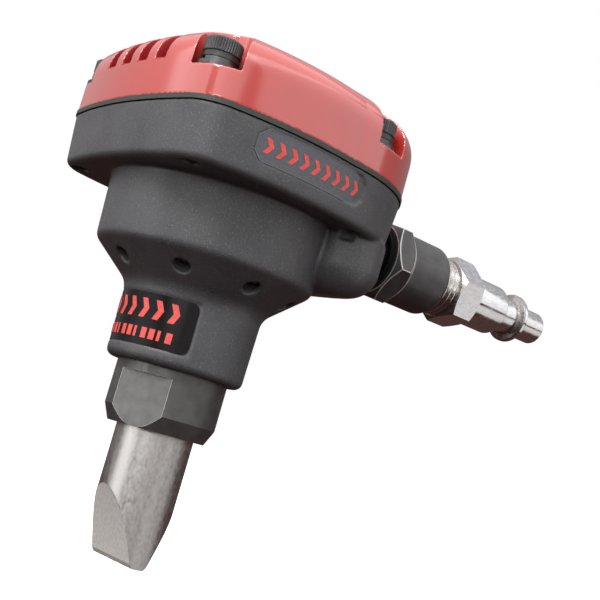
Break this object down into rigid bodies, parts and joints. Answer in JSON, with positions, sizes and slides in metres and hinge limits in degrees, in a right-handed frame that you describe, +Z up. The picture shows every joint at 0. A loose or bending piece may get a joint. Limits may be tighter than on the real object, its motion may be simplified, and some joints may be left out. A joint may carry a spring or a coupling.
{
  "type": "pneumatic palm nailer",
  "caption": "Air-driven palm hammer: domed palm cap, cast body with waisted neck and exhaust holes, slotted flat flooring bit in a retainer nut, and a swivel air inlet with plug.",
  "frame": {"origin": "centre of the flooring bit's striking end face, with the bit at rest in its nut", "axes": "+Z up the tool's axis from the bit to the palm cap, +X out along the air inlet; the plane Y = 0 is the mirror plane"},
  "size_m": [0.1264, 0.06, 0.1005],
  "materials": {
    "housing_paint": "satin, fine sparkle",
    "cap_paint": "gloss",
    "gasket_rubber": "matt",
    "screw_steel": "black oxide, knurled",
    "washer_steel": "dark zinc",
    "cylinder_aluminium": "turned",
    "piston_aluminium": "turned",
    "piston_ring_plastic": "matt",
    "driver_steel": "ground",
    "bumper_rubber": "matt",
    "seal_rubber": "satin",
    "bushing_brass": "turned",
    "nut_steel": "black oxide",
    "bit_steel": "satin",
    "spring_steel": "bright wire",
    "valve_plastic": "satin",
    "muffler_bronze": "sintered, matt",
    "adapter_steel": "black oxide",
    "plug_nickel": "bright nickel plate",
    "nameplate_paint": "satin",
    "label_gloss": "gloss"
  },
  "bodies": {
    "housing": {"body_housing": "housing_paint", "top_cap": "cap_paint", "cap_gasket": "gasket_rubber", "cap_screws": "screw_steel", "cap_flat_washers": "washer_steel", "cap_lock_washers": "washer_steel", "cylinder_sleeve": "cylinder_aluminium", "sleeve_o_ring_upper": "seal_rubber", "sleeve_o_ring_lower": "seal_rubber", "piston_bumper": "bumper_rubber", "driver_guide_bushing": "bushing_brass", "rod_seal": "seal_rubber", "bit_retainer_nut": "nut_steel", "bit_return_spring": "spring_steel", "valve_seat_plate": "cylinder_aluminium", "valve_cage": "cylinder_aluminium", "cap_bumper": "bumper_rubber", "exhaust_muffler": "muffler_bronze", "inlet_screen": "bushing_brass", "swivel_stem": "adapter_steel", "swivel_stem_o_rings": "seal_rubber", "swivel_snap_ring": "spring_steel", "swivel_thrust_washer": "piston_ring_plastic", "side_nameplate": "nameplate_paint", "neck_label": "label_gloss"},
    "bit": {"flooring_bit": "bit_steel", "bit_o_ring": "seal_rubber"},
    "piston": {"piston": "piston_aluminium", "piston_ring": "piston_ring_plastic", "driver_rod": "driver_steel"},
    "valve": {"valve_disc": "valve_plastic"},
    "swivel": {"swivel_barrel": "adapter_steel", "air_plug": "plug_nickel"}
  },
  "joints": [
    {"name": "bit_slide", "type": "slide", "parent": "housing", "child": "bit", "axis": [0, 0, 1], "range_m": [0, 0.005], "stiffness_N_per_m": 600, "springref_m": -0.002, "deforming": ["bit_return_spring"]},
    {"name": "piston_slide", "type": "slide", "parent": "bit", "child": "piston", "axis": [0, 0, 1], "range_m": [0, 0.011]},
    {"name": "valve_shuttle", "type": "slide", "parent": "housing", "child": "valve", "axis": [0, 0, 1], "range_m": [0, 0.0012]},
    {"name": "swivel_spin", "type": "hinge", "parent": "housing", "child": "swivel", "pos_m": [0.0452, 0, 0.0756], "axis": [1, 0, 0], "continuous": true}
  ]
}
